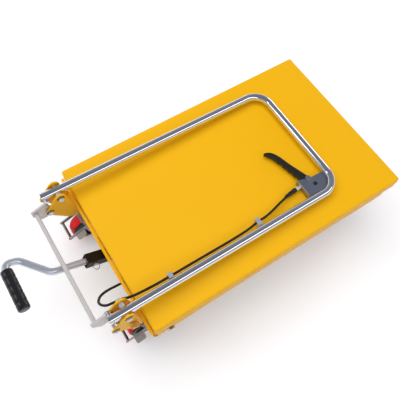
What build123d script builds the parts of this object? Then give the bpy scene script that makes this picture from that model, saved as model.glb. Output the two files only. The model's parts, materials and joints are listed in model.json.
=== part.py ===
"""Mobile scissor lift table: a tray deck on one pair of scissor legs, a wheeled base with a foot
pump, and a tubular push handle that lies folded on the lowered deck.

Millimetres. +X is forward, +Y is left, +Z is up. The origin is on the floor, in the middle of
the whole table from the pedal's grip to the deck's front edge."""

from math import asin, atan2, cos, degrees, hypot, radians, sin, tan
import os

from build123d import *

os.makedirs("parts", exist_ok=True)

# Deck and lift
deck_length = 700.0
deck_width = 450.0
deck_skirt = 35.0
deck_sheet = 3.0
deck_corner_r = 6.0
deck_edge_r = 4.5
deck_height = 225.0
raised_height = 740.0
pedal_reach = 213.6

# Scissor legs
pivot_inset = 40.0
leg_length = 630.0
leg_height = 30.0
leg_t = 8.0
leg_gap = 8.0
leg_to_rail = 2.0
pin_r = 7.0
centre_pin_r = 8.0
retainer_r = 12.0
retainer_t = 4.0
cross_tube_r = 12.5
cross_tube_wall = 2.0
outer_tube_from_end = 55.0
ram_tube_from_pivot = 280.0

# Base rails and rollers
rail_inset = 8.0
rail_w = 28.0
rail_h = 40.0
rail_t = 3.2
rail_end_inset = 8.0
bush_r = 12.0
roller_r = 16.5
roller_w = 20.0
roller_side_gap = 2.0
roller_gap = 0.3
pin_head_r = 9.5
pin_head_t = 9.0

# Casters
caster_share = 0.68
caster_drop = 27.0
caster_inset = 35.0
wheel_headroom = 26.0
wheel_w = 32.0
tread_t = 10.0
tread_chamfer = 3.0
core_rim_t = 6.0
core_web_w = 12.0
core_hub_r = 14.0
core_side_gap = 1.0
rear_wheel_inset = 5.0
front_wheel_inset = 80.0
swivel_trail = 38.0
caster_plate_l = 96.0
caster_plate_w = 70.0
caster_plate_t = 3.0
caster_bolt_dx = 74.0
caster_bolt_dy = 44.0
bolt_r = 4.0
bolt_hole_r = 4.2
bolt_head_r = 7.4
bolt_leg_gap = 0.5
race_r = 27.0
race_lip_r = 23.0
race_h = 11.0
race_gap = 0.3
kingpin_r = 8.0
kingpin_head_r = 12.0
kingpin_head_t = 6.0
crown_t = 4.0
crown_front = 24.0
fork_t = 3.0
wheel_fork_gap = 2.5
axle_r = 5.0
axle_boss_r = 12.0
axle_head_r = 8.5
axle_head_t = 5.0
brake_pivot_ahead_share = 0.16
brake_pivot_rise_share = 1.84
brake_reach_share = 1.44
brake_slope = 20.4
brake_arm_t = 2.5
brake_arm_h = 12.0
brake_gap = 3.0
brake_pin_r = 4.0
brake_bar_t = 3.5
brake_bar_h = 12.0
brake_pad_l = 27.0
brake_pad_w = 20.0
brake_pad_r = 5.0
brake_pad_share = 0.84

# Base plates
base_plate_t = 4.0
rear_plate_l = 134.0
front_plate_l = 120.0
plate_flange_h = 20.0
base_rear_gap = 2.0

# Foot pump and pedal
pedal_y = 5.5
pedal_pivot_x = 45.0
pedal_pivot_drop = 94.5
pedal_slope = 29.5
pedal_tube = 25.0
pedal_tube_wall = 2.5
pedal_tube_l = 112.0
pedal_pin_r = 6.0
pump_cheek_t = 11.0
pump_cheek_r = 12.0
pump_gap = 1.5
pump_l = 44.0
pump_h = 64.0
pump_under = 8.5
pump_from_pivot = 19.0
pump_flange = 16.0
pump_flange_t = 5.0
notch_gap = 2.0
plunger_drop = 18.0
plunger_r = 6.0
plunger_l = 26.0
plunger_head_r = 6.5
plunger_head_t = 3.0
plunger_bore_l = 36.0
nose_r = 6.0
nose_w = 16.0
pedal_rod_r = 8.2
rod_in_tube = 40.0
rod_end_run = 32.4
rod_bend_run = 53.3
rod_side_step = 50.5
rod_bend_r = 24.0
rod_end_bend_r = 15.0
grip_r = 13.2
grip_l = 96.0
grip_groove = 1.2
grip_grooves = 4
grip_from_bend = 1.0
pull_pin_r = 3.5
pull_pin_back = 92.0
pull_ring_r = 8.0
pull_ring_t = 2.4

# Lift cylinder
cylinder_y = -60.0
ram_foot_rise = 18.0
ram_r = 10.0
ram_eye_r = 11.0
ram_eye_w = 36.0
barrel_r = 20.0
barrel_l = 190.0
gland_r = 22.0
gland_l = 14.0
barrel_eye_r = 18.0
barrel_eye_w = 40.0
saddle_l = 32.0
saddle_h = 8.4
saddle_gap = 0.4
valve_w = 38.0
valve_r = 19.0
valve_spool_r = 6.0
valve_spool_l = 14.0

# Push handle, in its own plane: u runs from the pivot to the loop
handle_pivot_back = 32.0
handle_pivot_z = 35.5
loop_rest_z = 15.0
handle_reach = 580.0
handle_tail = 37.0
handle_c_c = 324.0
handle_tube_r = 10.25
handle_wall = 1.5
handle_bend_r = 45.0
tail_pin_back = 29.7
tail_pin_r = 4.0
tail_pin_inner = 8.25
handle_pin_r = 5.0
handle_spacer_r = 6.0
running_gap = 0.05
weld_gap = 0.1

# Handle brackets, latch and beam
beam_t = 6.5
beam_gap = 1.5
beam_inset = 7.0
beam_top = 22.0
beam_bottom = 44.0
beam_pad_l = 40.0
beam_pad_h = 10.0
bracket_t = 4.0
bracket_inner_gap = 9.75
bracket_outer_gap = 2.75
bracket_lobe_r = 13.5
bracket_low = 72.0
bracket_front_top = -22.0
latch_pivot_back = 66.0
latch_pivot_z = 0.0
latch_lobe_r = 9.0
latch_shaft_r = 4.0
latch_arm_t = 5.0
latch_arm_gap = 2.0
latch_bar_r = 5.0
latch_bar_back = 30.0
latch_bar_up = 10.0
latch_clear = 1.8
latch_hook_from = 180.0
latch_hook_mid = 220.0
latch_hook_to = 258.0
latch_nose = (4.5, -1.1)
latch_throat_z = -7.2
latch_heel = (9.0, -13.5)
latch_sole_front = (-12.6, -23.0)
latch_sole_rear = (-23.4, -23.0)
latch_back = 9.0
latch_back_low = -4.5
latch_back_high = 11.7
nut_r = 7.0
nut_t = 5.0
spring_r = 7.0
spring_bore_r = 5.0
spring_l = 22.0
spring_back = 27.0
spring_z = -13.0
spring_slope = -34.0
spring_gap = 0.3

# Corner plate, release lever and cable
corner_plate_t = 3.0
corner_plate_l = 70.25
corner_plate_w = 50.25
corner_lip_t = 3.0
lip_rest_gap = 0.3
lever_back = 54.5
lever_side = 53.0
lever_t = 9.0
lever_gap = 0.5
lever_pin_r = 4.0
lever_pin_head_r = 6.5
lever_pin_head_t = 3.0
lever_boss_r = 12.0
lever_tip = (-47.0, 112.0)
lever_tip_end = (-50.0, 107.5)
lever_tip_r = 2.8
lever_finger_r = 14.4
lever_front = ((7.0, 4.0), (-3.0, 31.0), (-13.5, 60.0), (-23.0, 90.0), (-33.0, 105.0))
lever_heel = ((-39.0, 92.0), (-34.0, 74.0))
lever_fingers = ((-30.0, 58.0), (-26.0, 42.0), (-22.0, 26.0), (-17.5, 10.0))
lever_boss_back = (-6.0, -10.4)
lever_boss_end = (10.8, -5.4)
cable_r = 3.0
cable_hole_gap = 2.1
adjuster_r = 5.0
adjuster_l = 14.0
adjuster_y = -116.0
adjuster_drop = 8.0
boot_r = 6.0
boot_tip_r = 3.8
boot_l = 34.0
clip_l = 11.0
clip_h = 12.0
clip_wall = 2.5
clip_u = (354.0, 118.0)
clip_y = (-139.0, -146.0)
clip_drop = (-2.5, -0.5)
bend_share = 0.45

# Values worked out from the sizes above
deck_rear = (pedal_reach - deck_length) / 2
deck_mid = deck_rear + deck_length / 2
rail_out = deck_width / 2 - rail_inset
rail_in = rail_out - rail_w
rail_web_in = rail_out - rail_t
outer_leg_out = rail_in - leg_to_rail
outer_leg_in = outer_leg_out - leg_t
inner_leg_out = outer_leg_in - leg_gap
inner_leg_in = inner_leg_out - leg_t
roller_in = rail_in + roller_side_gap
roller_out = roller_in + roller_w
track_depth = deck_sheet + 2 * (roller_r + roller_gap) + rail_t
caster_height = caster_share * deck_height - caster_drop
rail_bottom = caster_height + base_plate_t
caster_y = rail_in - caster_inset
bolt_head_t = rail_t + roller_gap + roller_r - leg_height / 2 - bolt_leg_gap
pedal_pivot_z = deck_height - pedal_pivot_drop
ram_foot_z = rail_bottom + ram_foot_rise
valve_y = (cylinder_y - barrel_eye_w / 2 - inner_leg_in) / 2
pivot_x = deck_rear + pivot_inset
base_pivot_z = rail_bottom + rail_t + roller_gap + roller_r
deck_pivot_z = deck_height - deck_sheet - roller_gap - roller_r
leg_rise = deck_pivot_z - base_pivot_z
closed_angle = degrees(asin(leg_rise / leg_length))
raised_angle = degrees(asin((leg_rise + raised_height - deck_height) / leg_length))
leg_run = leg_length * cos(radians(closed_angle))
roller_x = pivot_x + leg_run
centre_x = pivot_x + leg_run / 2
centre_z = (base_pivot_z + deck_pivot_z) / 2
wheel_r = (caster_height - wheel_headroom) / 2
rear_wheel_x = deck_rear + rear_wheel_inset
brake_pivot_x = rear_wheel_x + brake_pivot_ahead_share * wheel_r
brake_pivot_z = brake_pivot_rise_share * wheel_r
brake_reach = brake_reach_share * wheel_r
brake_pad_from_pivot = brake_pad_share * wheel_r
swivel_x = rear_wheel_x + swivel_trail
front_wheel_x = deck_rear + deck_length - front_wheel_inset
fork_in = wheel_w / 2 + wheel_fork_gap
fork_out = fork_in + fork_t
crown_top = caster_height - caster_plate_t - race_h - race_gap
handle_x = deck_rear - handle_pivot_back
handle_z = deck_height + handle_pivot_z
handle_slope = asin((handle_pivot_z - loop_rest_z) / handle_reach)
tube_y = handle_c_c / 2
tube_in = tube_y - handle_tube_r
bracket_in_b = tube_in - bracket_inner_gap
bracket_in_a = bracket_in_b - bracket_t
bracket_out_a = tube_y + handle_tube_r + bracket_outer_gap
bracket_out_b = bracket_out_a + bracket_t
beam_x = deck_rear - beam_gap
bracket_x = beam_x - beam_t
latch_x = deck_rear - latch_pivot_back
latch_z = deck_height + latch_pivot_z
arm_in = bracket_in_b + latch_arm_gap
arm_out = arm_in + latch_arm_t

handle_plane = Plane(
    origin=(handle_x, 0, handle_z),
    x_dir=(cos(handle_slope), 0, -sin(handle_slope)),
    z_dir=(sin(handle_slope), 0, cos(handle_slope)),
)


def write(builder, name):
    """Labels one finished piece and writes it to its file."""
    builder.part.label = name
    export_step(builder.part, f"parts/{name}.step")


def upright(y):
    """A plane standing along X and Z at y, whose extrusions run towards -Y."""
    return Plane.XZ.offset(-y)


def slab_top(side, near, far):
    """The y from which a slab between |y| = near and far is extruded towards -Y."""
    return far if side > 0 else -near


def cross_pin(x, z, radius, y_from, y_to, mode=Mode.ADD):
    """A round pin along Y at (x, z), from one y to the other."""
    with Locations((x, (y_from + y_to) / 2, z)):
        Cylinder(radius, abs(y_to - y_from), rotation=(90, 0, 0), mode=mode)


def side_pin(side, x, z, radius, near, far, mode=Mode.ADD):
    """A round pin along Y on one side of the table, between |y| = near and far."""
    cross_pin(x, z, radius, side * near, side * far, mode)


def hex_head(x, z, radius, y_from, y_to):
    """A six-sided head or nut along Y."""
    with BuildSketch(upright(max(y_from, y_to))) as outline:
        with Locations((x, z)):
            RegularPolygon(radius, 6)
    extrude(outline.sketch, amount=abs(y_to - y_from))


def bend_radii(points):
    """The largest bend at each corner of a cable's route that its two runs leave room for."""
    radii = []
    for before, corner, after in zip(points, points[1:], points[2:]):
        run_in = Vector(*corner) - Vector(*before)
        run_out = Vector(*after) - Vector(*corner)
        turn = radians(run_in.get_angle(run_out))
        radii.append(bend_share * min(run_in.length, run_out.length) / tan(turn / 2))
    return radii


def cable(points):
    """A round cable along a route of straight runs joined by tangent bends."""
    radii = bend_radii(points)
    print("cable bends:", [round(radius) for radius in radii])
    with BuildPart() as run:
        with BuildLine():
            path = FilletPolyline(*points, radius=radii)
        with BuildSketch(Plane(origin=path @ 0, z_dir=path % 0)):
            Circle(cable_r)
        sweep(path=path)
    return run


def on_handle(u, y, v):
    """A point of the handle's plane, v above it, in the table's frame."""
    return tuple(handle_plane.from_local_coords(Vector(u, y, v)))


# Deck: a folded steel tray with its open side down
with BuildPart() as deck:
    with BuildSketch(Plane.XY.offset(deck_height - deck_skirt)):
        with Locations((deck_mid, 0)):
            RectangleRounded(deck_length, deck_width, deck_corner_r)
    extrude(amount=deck_skirt)
    fillet(deck.faces().sort_by(Axis.Z)[-1].edges(), deck_edge_r)
    offset(amount=-deck_sheet, openings=deck.faces().sort_by(Axis.Z)[0])
write(deck, "deck")

# Roller tracks: angles welded under the deck, with the legs' upper pivot bush at the rear
track_bottom = deck_height - track_depth
track_length = deck_length - 2 * (deck_sheet + rail_end_inset)
with BuildPart() as deck_tracks:
    for side in (1, -1):
        with BuildSketch(Plane.YZ.offset(deck_rear + deck_sheet + rail_end_inset)):
            with BuildLine():
                Polyline(
                    (side * rail_in, track_bottom),
                    (side * rail_out, track_bottom),
                    (side * rail_out, deck_height - deck_sheet),
                    (side * rail_web_in, deck_height - deck_sheet),
                    (side * rail_web_in, track_bottom + rail_t),
                    (side * rail_in, track_bottom + rail_t),
                    close=True,
                )
            make_face()
        extrude(amount=track_length)
        side_pin(side, pivot_x, deck_pivot_z, bush_r, inner_leg_out + roller_gap, rail_web_in)
        side_pin(side, pivot_x, deck_pivot_z, pin_r, inner_leg_in, rail_out, Mode.SUBTRACT)
write(deck_tracks, "deck_tracks")

with BuildPart() as deck_pivot_pins:
    for side in (1, -1):
        side_pin(side, pivot_x, deck_pivot_z, pin_r, inner_leg_in - retainer_t, rail_out)
        side_pin(
            side, pivot_x, deck_pivot_z, retainer_r,
            inner_leg_in - retainer_t, inner_leg_in - roller_gap,
        )
write(deck_pivot_pins, "deck_pivot_pins")

# Base rails: channels open inwards, in which the lower rollers run
rail_rear = deck_rear + rail_end_inset
rail_length = deck_length - 2 * rail_end_inset
for name, side in (("left", 1), ("right", -1)):
    with BuildPart() as rail:
        with BuildSketch(Plane.YZ.offset(rail_rear)):
            with Locations((side * (rail_in + rail_out) / 2, rail_bottom + rail_h / 2)):
                Rectangle(rail_w, rail_h)
            with Locations((side * (rail_in + rail_web_in) / 2, rail_bottom + rail_h / 2)):
                Rectangle(rail_w - rail_t, rail_h - 2 * rail_t, mode=Mode.SUBTRACT)
        extrude(amount=rail_length)
        side_pin(side, pivot_x, base_pivot_z, bush_r, rail_in, rail_web_in)
        side_pin(side, pivot_x, base_pivot_z, pin_r, rail_in, rail_out, Mode.SUBTRACT)
    write(rail, f"base_rail_{name}")

with BuildPart() as base_pivot_pins:
    for side in (1, -1):
        side_pin(side, pivot_x, base_pivot_z, pin_r, outer_leg_in - retainer_t, rail_out)
        side_pin(
            side, pivot_x, base_pivot_z, retainer_r,
            outer_leg_in - retainer_t, outer_leg_in - roller_gap,
        )
        hex_head(pivot_x, base_pivot_z, pin_head_r, side * rail_out, side * (rail_out + pin_head_t))
write(base_pivot_pins, "base_pivot_pins")

# Base plates: the rear one is notched for the foot pump and carries the ram's saddle
rear_plate_x = deck_rear - base_rear_gap
rear_plate_front = rear_plate_x + rear_plate_l
front_plate_rear = front_wheel_x - front_plate_l / 2
pump_w = pedal_tube + 2 * (pump_gap + pump_cheek_t)
pump_x = deck_rear + pedal_pivot_x + pump_from_pivot
notch_l = pump_x + pump_l + notch_gap - rear_plate_x
ram_foot_x = pivot_x
rear_bolt_x = (swivel_x - caster_bolt_dx / 2, swivel_x + caster_bolt_dx / 2)
front_bolt_x = (front_wheel_x - caster_bolt_dx / 2, front_wheel_x + caster_bolt_dx / 2)
bolt_y = (caster_y - caster_bolt_dy / 2, caster_y + caster_bolt_dy / 2)
with BuildPart() as rear_base_plate:
    with BuildSketch(Plane.XY.offset(caster_height)):
        with Locations((rear_plate_x + rear_plate_l / 2, 0)):
            RectangleRounded(rear_plate_l, 2 * rail_out, deck_corner_r)
        with Locations((rear_plate_x + notch_l / 2, pedal_y)):
            Rectangle(notch_l, pump_w + 2 * notch_gap, mode=Mode.SUBTRACT)
        with Locations([(x, side * y) for x in rear_bolt_x for y in bolt_y for side in (1, -1)]):
            Circle(bolt_hole_r, mode=Mode.SUBTRACT)
    extrude(amount=base_plate_t)
    with BuildSketch(Plane.XY.offset(caster_height)):
        with Locations((rear_plate_front - base_plate_t / 2, 0)):
            Rectangle(base_plate_t, 2 * (rail_out - deck_corner_r))
    extrude(amount=-plate_flange_h)
    with BuildSketch(upright(cylinder_y + ram_eye_w / 2 + saddle_gap)):
        with Locations((ram_foot_x, rail_bottom + saddle_h / 2)):
            Rectangle(saddle_l, saddle_h)
        with Locations((ram_foot_x, ram_foot_z)):
            Circle(ram_eye_r + saddle_gap, mode=Mode.SUBTRACT)
    extrude(amount=ram_eye_w + 2 * saddle_gap)
write(rear_base_plate, "rear_base_plate")

with BuildPart() as front_base_plate:
    with BuildSketch(Plane.XY.offset(caster_height)):
        with Locations((front_wheel_x, 0)):
            RectangleRounded(front_plate_l, 2 * rail_out, deck_corner_r)
        with Locations([(x, side * y) for x in front_bolt_x for y in bolt_y for side in (1, -1)]):
            Circle(bolt_hole_r, mode=Mode.SUBTRACT)
    extrude(amount=base_plate_t)
    with BuildSketch(Plane.XY.offset(caster_height)):
        with Locations((front_plate_rear + base_plate_t / 2, 0)):
            Rectangle(base_plate_t, 2 * (rail_out - deck_corner_r))
    extrude(amount=-plate_flange_h)
write(front_base_plate, "front_base_plate")

with BuildPart() as caster_bolts:
    bolt_spots = [
        (x, side * y) for x in (*rear_bolt_x, *front_bolt_x) for y in bolt_y for side in (1, -1)
    ]
    nut_top = caster_height - caster_plate_t
    with BuildSketch(Plane.XY.offset(nut_top - bolt_head_t)):
        with Locations(bolt_spots):
            RegularPolygon(bolt_head_r, 6)
    extrude(amount=bolt_head_t)
    with BuildSketch(Plane.XY.offset(nut_top)):
        with Locations(bolt_spots):
            Circle(bolt_r)
    extrude(amount=rail_bottom - nut_top)
    with BuildSketch(Plane.XY.offset(rail_bottom)):
        with Locations(bolt_spots):
            RegularPolygon(bolt_head_r, 6)
    extrude(amount=bolt_head_t)
write(caster_bolts, "caster_bolts")


# Casters
def caster_top(x, y):
    """A caster's bolted top plate with its four holes."""
    with BuildSketch(Plane.XY.offset(caster_height - caster_plate_t)) as outline:
        with Locations((x, y)):
            RectangleRounded(caster_plate_l, caster_plate_w, deck_corner_r)
            with GridLocations(caster_bolt_dx, caster_bolt_dy, 2, 2):
                Circle(bolt_hole_r, mode=Mode.SUBTRACT)
    extrude(outline.sketch, amount=caster_plate_t)


def fork_legs(x, y, wheel_x, top_z, front_x, rear_x, pin_at=None):
    """Two fork legs down from top_z to a round axle end, with the axle bolt through them."""
    for inner in (y + fork_out, y - fork_in):
        with BuildSketch(upright(inner)) as outline:
            with BuildLine():
                Line((wheel_x + axle_boss_r, wheel_r), (front_x, top_z - axle_boss_r))
                Polyline((front_x, top_z - axle_boss_r), (front_x, top_z), (rear_x, top_z))
                Line((rear_x, top_z), (wheel_x - axle_boss_r, wheel_r))
                ThreePointArc(
                    (wheel_x - axle_boss_r, wheel_r),
                    (wheel_x, wheel_r - axle_boss_r),
                    (wheel_x + axle_boss_r, wheel_r),
                )
            make_face()
            if pin_at:
                with Locations(pin_at):
                    Circle(brake_pin_r + running_gap, mode=Mode.SUBTRACT)
        extrude(outline.sketch, amount=fork_t)
    cross_pin(wheel_x, wheel_r, axle_r, y - fork_out, y + fork_out)
    for end in (1, -1):
        hex_head(
            wheel_x, wheel_r, axle_head_r, y + end * fork_out, y + end * (fork_out + axle_head_t)
        )


with BuildPart() as caster_plates:
    for side in (1, -1):
        caster_top(swivel_x, side * caster_y)
        race_top = caster_height - caster_plate_t
        swivel_plane = Plane(
            origin=(swivel_x, side * caster_y, 0), x_dir=(1, 0, 0), z_dir=(0, -1, 0)
        )
        with BuildSketch(swivel_plane):
            with BuildLine():
                Polyline(
                    (0, race_top),
                    (race_r, race_top),
                    (race_r, race_top - race_h / 2),
                    (race_lip_r, race_top - race_h),
                    (kingpin_r, race_top - race_h),
                    (kingpin_r, crown_top - crown_t - race_gap),
                    (kingpin_head_r, crown_top - crown_t - race_gap),
                    (kingpin_head_r, crown_top - crown_t - race_gap - kingpin_head_t),
                    (0, crown_top - crown_t - race_gap - kingpin_head_t),
                    close=True,
                )
            make_face()
        revolve(axis=Axis((swivel_x, side * caster_y, 0), (0, 0, 1)))
write(caster_plates, "caster_plates")

for name, side in (("left", 1), ("right", -1)):
    y_mid = side * caster_y
    with BuildPart() as swivel_fork:
        rear_x = rear_wheel_x - axle_boss_r - core_hub_r / 2
        with BuildSketch(Plane.XY.offset(crown_top - crown_t)):
            with Locations(((swivel_x + crown_front + rear_x) / 2, y_mid)):
                RectangleRounded(swivel_x + crown_front - rear_x, 2 * fork_out, fork_t)
            with Locations((swivel_x, y_mid)):
                Circle(kingpin_r + running_gap, mode=Mode.SUBTRACT)
        extrude(amount=crown_t)
        fork_legs(
            swivel_x, y_mid, rear_wheel_x, crown_top - crown_t,
            swivel_x + crown_front - fork_t, rear_x + fork_t, (brake_pivot_x, brake_pivot_z),
        )
    write(swivel_fork, f"swivel_fork_{name}")

    arm_angle = radians(brake_slope)
    bar_x = brake_pivot_x - brake_reach * cos(arm_angle)
    bar_z = brake_pivot_z - brake_reach * sin(arm_angle)
    arm_mid = (brake_pivot_x + bar_x) / 2, (brake_pivot_z + bar_z) / 2
    pad_mid = (
        brake_pivot_x - brake_pad_from_pivot * cos(arm_angle),
        brake_pivot_z - brake_pad_from_pivot * sin(arm_angle),
    )
    brake_in = fork_out + brake_gap
    brake_out = brake_in + brake_arm_t
    pad_plane = Plane(
        origin=(pad_mid[0], y_mid - brake_in - brake_pad_w / 2, pad_mid[1]),
        x_dir=(cos(arm_angle), 0, sin(arm_angle)),
        z_dir=(-sin(arm_angle), 0, cos(arm_angle)),
    )
    with BuildPart() as brake_pedal:
        for top in (y_mid + brake_out, y_mid - brake_in):
            with BuildSketch(upright(top)):
                with Locations(arm_mid):
                    SlotCenterToCenter(brake_reach, brake_arm_h, rotation=brake_slope)
            extrude(amount=brake_arm_t)
        with BuildSketch(upright(y_mid + brake_out)):
            with Locations((bar_x, bar_z)):
                Rectangle(brake_bar_t, brake_bar_h, rotation=brake_slope)
        extrude(amount=2 * brake_out)
        with BuildSketch(pad_plane):
            Rectangle(brake_pad_l, brake_pad_w)
            fillet(vertices().group_by(Axis.Y)[0], brake_pad_r)
        extrude(amount=brake_bar_t / 2, both=True)
        for end in (1, -1):
            cross_pin(
                brake_pivot_x, brake_pivot_z, brake_pin_r,
                y_mid + end * fork_in, y_mid + end * brake_in,
            )
    write(brake_pedal, f"brake_pedal_{name}")

    with BuildPart() as front_fork:
        caster_top(front_wheel_x, y_mid)
        fork_legs(
            front_wheel_x, y_mid, front_wheel_x, caster_height - caster_plate_t,
            front_wheel_x + caster_bolt_dx / 2 - bolt_head_r - fork_t,
            front_wheel_x - caster_bolt_dx / 2 + bolt_head_r + fork_t,
        )
    write(front_fork, f"front_fork_{name}")

    for place, wheel_x in (("rear", rear_wheel_x), ("front", front_wheel_x)):
        hub_plane = Plane(origin=(wheel_x, y_mid, wheel_r), x_dir=(1, 0, 0), z_dir=(0, 0, 1))
        hub_axis = Axis((wheel_x, y_mid, wheel_r), (0, 1, 0))
        core_r = wheel_r - tread_t
        with BuildPart() as tread:
            with BuildSketch(hub_plane):
                with Locations((core_r + tread_t / 2, 0)):
                    Rectangle(tread_t, wheel_w)
                chamfer(vertices().group_by(Axis.X)[-1], tread_chamfer)
            revolve(axis=hub_axis)
        write(tread, f"{place}_tread_{name}")

        core_half = wheel_w / 2 - core_side_gap
        hub_half = fork_in - core_side_gap
        with BuildPart() as core:
            with BuildSketch(hub_plane):
                with BuildLine():
                    Polyline(
                        (axle_r + running_gap, -hub_half),
                        (core_hub_r, -hub_half),
                        (core_hub_r, -core_web_w / 2),
                        (core_r - core_rim_t, -core_web_w / 2),
                        (core_r - core_rim_t, -core_half),
                        (core_r, -core_half),
                        (core_r, core_half),
                        (core_r - core_rim_t, core_half),
                        (core_r - core_rim_t, core_web_w / 2),
                        (core_hub_r, core_web_w / 2),
                        (core_hub_r, hub_half),
                        (axle_r + running_gap, hub_half),
                        close=True,
                    )
                make_face()
            revolve(axis=hub_axis)
        write(core, f"{place}_wheel_core_{name}")

# Scissor legs, each a bar with round ends and a roller stub at its front end
for name, side in (("left", 1), ("right", -1)):
    with BuildPart() as outer_leg:
        with BuildSketch(upright(slab_top(side, outer_leg_in, outer_leg_out))):
            with Locations((centre_x, centre_z)):
                SlotCenterToCenter(leg_length, leg_height, rotation=closed_angle)
            with Locations((pivot_x, base_pivot_z)):
                Circle(pin_r + running_gap, mode=Mode.SUBTRACT)
            with Locations((centre_x, centre_z)):
                Circle(centre_pin_r, mode=Mode.SUBTRACT)
        extrude(amount=leg_t)
        side_pin(side, roller_x, deck_pivot_z, pin_r, outer_leg_in, roller_out + roller_gap)
    write(outer_leg, f"outer_leg_{name}")

    with BuildPart() as inner_leg:
        with BuildSketch(upright(slab_top(side, inner_leg_in, inner_leg_out))):
            with Locations((centre_x, centre_z)):
                SlotCenterToCenter(leg_length, leg_height, rotation=-closed_angle)
            with Locations((pivot_x, deck_pivot_z)):
                Circle(pin_r + running_gap, mode=Mode.SUBTRACT)
            with Locations((centre_x, centre_z)):
                Circle(centre_pin_r + running_gap, mode=Mode.SUBTRACT)
        extrude(amount=leg_t)
        side_pin(side, roller_x, base_pivot_z, pin_r, inner_leg_in, roller_out + roller_gap)
    write(inner_leg, f"inner_leg_{name}")

with BuildPart() as centre_pins:
    for side in (1, -1):
        side_pin(
            side, centre_x, centre_z, centre_pin_r, inner_leg_in - retainer_t, outer_leg_out
        )
        side_pin(
            side, centre_x, centre_z, retainer_r,
            inner_leg_in - retainer_t, inner_leg_in - roller_gap,
        )
        side_pin(
            side, centre_x, centre_z, retainer_r, inner_leg_out + roller_gap, outer_leg_in
        )
write(centre_pins, "centre_pins")

for name, roller_z in (("deck_rollers", deck_pivot_z), ("base_rollers", base_pivot_z)):
    with BuildPart() as rollers:
        for side in (1, -1):
            side_pin(side, roller_x, roller_z, roller_r, roller_in, roller_out)
            side_pin(
                side, roller_x, roller_z, pin_r + running_gap, roller_in, roller_out, Mode.SUBTRACT
            )
    write(rollers, name)

lean = radians(closed_angle)
outer_tube_x = roller_x - outer_tube_from_end * cos(lean)
outer_tube_z = deck_pivot_z - outer_tube_from_end * sin(lean)
ram_tube_x = pivot_x + ram_tube_from_pivot * cos(lean)
ram_tube_z = deck_pivot_z - ram_tube_from_pivot * sin(lean)
for name, x, z, half in (
    ("outer_cross_tube", outer_tube_x, outer_tube_z, outer_leg_in),
    ("inner_cross_tube", ram_tube_x, ram_tube_z, inner_leg_in),
):
    with BuildPart() as cross_tube:
        cross_pin(x, z, cross_tube_r, -half, half)
        cross_pin(x, z, cross_tube_r - cross_tube_wall, -half, half, Mode.SUBTRACT)
    write(cross_tube, name)

# Lift cylinder between the inner legs' cross tube and the saddle on the base
cylinder_l = hypot(ram_tube_x - ram_foot_x, ram_tube_z - ram_foot_z)
cylinder_angle = atan2(ram_tube_z - ram_foot_z, ram_tube_x - ram_foot_x)
push = Vector(-cos(cylinder_angle), 0, -sin(cylinder_angle))
tube_centre = Vector(ram_tube_x, cylinder_y, ram_tube_z)


def along_cylinder(distance):
    """A plane across the cylinder, at a distance from its upper pivot."""
    return Plane(origin=tube_centre + push * distance, x_dir=(0, 1, 0), z_dir=push)


with BuildPart() as cylinder_barrel:
    with BuildSketch(along_cylinder(0)):
        Circle(barrel_r)
    extrude(amount=barrel_l)
    with BuildSketch(along_cylinder(barrel_l)):
        Circle(gland_r)
    extrude(amount=gland_l)
    cross_pin(
        ram_tube_x, ram_tube_z, barrel_eye_r,
        cylinder_y - barrel_eye_w / 2, cylinder_y + barrel_eye_w / 2,
    )
    cross_pin(
        ram_tube_x, ram_tube_z, cross_tube_r + running_gap,
        cylinder_y - barrel_eye_w, cylinder_y + barrel_eye_w, Mode.SUBTRACT,
    )
    with BuildSketch(along_cylinder(barrel_eye_r + barrel_r)):
        Circle(ram_r + running_gap)
    extrude(amount=barrel_l, mode=Mode.SUBTRACT)
write(cylinder_barrel, "cylinder_barrel")

ram_start = barrel_eye_r + barrel_r + gland_l
with BuildPart() as cylinder_ram:
    with BuildSketch(along_cylinder(ram_start)):
        Circle(ram_r)
    extrude(amount=cylinder_l - ram_start)
    cross_pin(
        ram_foot_x, ram_foot_z, ram_eye_r, cylinder_y - ram_eye_w / 2, cylinder_y + ram_eye_w / 2
    )
write(cylinder_ram, "cylinder_ram")

with BuildPart() as lowering_valve:
    with BuildSketch(upright(valve_y + valve_w / 2)):
        with Locations((ram_tube_x, ram_tube_z)):
            RectangleRounded(2 * valve_r, 2 * valve_r, deck_corner_r)
            Circle(cross_tube_r, mode=Mode.SUBTRACT)
    extrude(amount=valve_w)
    with BuildSketch(Plane(origin=(ram_tube_x - valve_r, valve_y, ram_tube_z), z_dir=(-1, 0, 0))):
        Circle(valve_spool_r)
    extrude(amount=valve_spool_l)
write(lowering_valve, "lowering_valve")

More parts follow.
